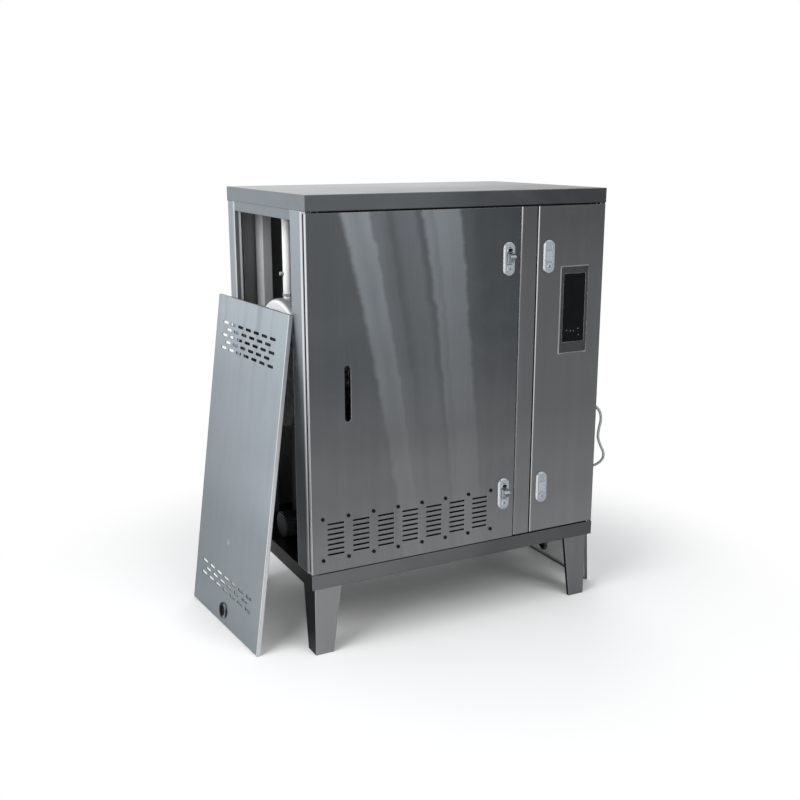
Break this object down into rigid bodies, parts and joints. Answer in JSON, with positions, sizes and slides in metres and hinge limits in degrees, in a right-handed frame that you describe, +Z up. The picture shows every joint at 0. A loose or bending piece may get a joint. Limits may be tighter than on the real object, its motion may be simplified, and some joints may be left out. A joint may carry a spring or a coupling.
{
  "type": "electric steam boiler",
  "caption": "Cabinet electric steam boiler of brushed stainless sheet on tapered legs, with hinged doors, sprung lever locks, a display and its side panels taken off.",
  "frame": {"origin": "on the floor under the middle of the part's box, with its leaning side panels and sprung levers in it", "axes": "+Z up, the doors face -Y, +X to the right of someone facing the doors"},
  "size_m": [1.2617, 0.6696, 1.34],
  "materials": {
    "cabinet_steel": "vertically brushed stainless sheet",
    "door_steel": "vertically brushed stainless sheet, darker in reflection",
    "panel_steel": "brushed stainless sheet",
    "inner_steel": "plain folded sheet",
    "lock_chrome": "polished chrome plate",
    "fitting_chrome": "bright plated fittings",
    "display_frame": "satin frame",
    "display_glass": "black glossy panel",
    "grommet_rubber": "black rubber",
    "drum_jacket": "crinkled foil jacket",
    "drum_cover": "white cover",
    "pipe_white": "white lagged pipe",
    "saddle_paint": "dark paint",
    "gauge_tube": "clear tube",
    "motor_paint": "grey enamel",
    "pump_iron": "cast body",
    "plate_zinc": "zinc plated plate",
    "control_plastic": "moulded housings",
    "terminal_plastic": "moulded terminals",
    "cable_sheath": "grey sheath"
  },
  "bodies": {
    "cabinet": {"lid": "cabinet_steel", "front_top_rail": "cabinet_steel", "left_top_rail": "cabinet_steel", "right_top_rail": "cabinet_steel", "front_left_post": "cabinet_steel", "front_right_post": "cabinet_steel", "back_left_post": "cabinet_steel", "back_right_post": "cabinet_steel", "mullion": "door_steel", "rear_inner_post": "inner_steel", "base_tray": "cabinet_steel", "front_left_leg": "cabinet_steel", "front_right_leg": "cabinet_steel", "back_left_leg": "cabinet_steel", "back_right_leg": "cabinet_steel", "back_panel": "panel_steel", "left_side_panel": "panel_steel", "left_grommet": "grommet_rubber", "right_side_panel": "panel_steel", "right_grommet": "grommet_rubber", "partition": "inner_steel", "drum_shell": "drum_jacket", "drum_left_end": "drum_cover", "drum_right_end": "drum_cover", "drum_saddles": "saddle_paint", "steam_pipe": "pipe_white", "pipe_union": "pipe_white", "gauge_glass": "gauge_tube", "gauge_cocks": "fitting_chrome", "end_cock": "fitting_chrome", "pump_motor": "motor_paint", "pump_casing": "pump_iron", "feed_pipe": "fitting_chrome", "mounting_plate": "plate_zinc", "contactors": "control_plastic", "terminal_blocks": "terminal_plastic", "hanging_cable": "cable_sheath"},
    "main_door": {"main_door": "door_steel", "main_locks": "lock_chrome"},
    "control_door": {"control_door": "door_steel", "control_locks": "lock_chrome", "display_bezel": "display_frame", "display_glass": "display_glass"},
    "main_upper_lever": {"main_upper_lever": "lock_chrome"},
    "main_lower_lever": {"main_lower_lever": "lock_chrome"},
    "control_upper_lever": {"control_upper_lever": "lock_chrome"},
    "control_lower_lever": {"control_lower_lever": "lock_chrome"}
  },
  "joints": [
    {"name": "main_door_hinge", "type": "hinge", "parent": "cabinet", "child": "main_door", "pos_m": [-0.43371, -0.29918, 0.261], "axis": [0, 0, -1], "range_deg": [0, 120]},
    {"name": "control_door_hinge", "type": "hinge", "parent": "cabinet", "child": "control_door", "pos_m": [0.55029, -0.29918, 0.263], "axis": [0, 0, 1], "range_deg": [0, 120]},
    {"name": "main_upper_lever_pivot", "type": "hinge", "parent": "main_door", "child": "main_upper_lever", "pos_m": [0.20629, -0.31017, 1.127], "axis": [-1, 0, 0], "range_deg": [0, 45]},
    {"name": "main_lower_lever_pivot", "type": "hinge", "parent": "main_door", "child": "main_lower_lever", "pos_m": [0.20629, -0.31017, 0.396], "axis": [-1, 0, 0], "range_deg": [0, 45]},
    {"name": "control_upper_lever_pivot", "type": "hinge", "parent": "control_door", "child": "control_upper_lever", "pos_m": [0.34929, -0.31017, 1.127], "axis": [1, 0, 0], "range_deg": [0, 45]},
    {"name": "control_lower_lever_pivot", "type": "hinge", "parent": "control_door", "child": "control_lower_lever", "pos_m": [0.34929, -0.31017, 0.396], "axis": [1, 0, 0], "range_deg": [0, 45]}
  ]
}
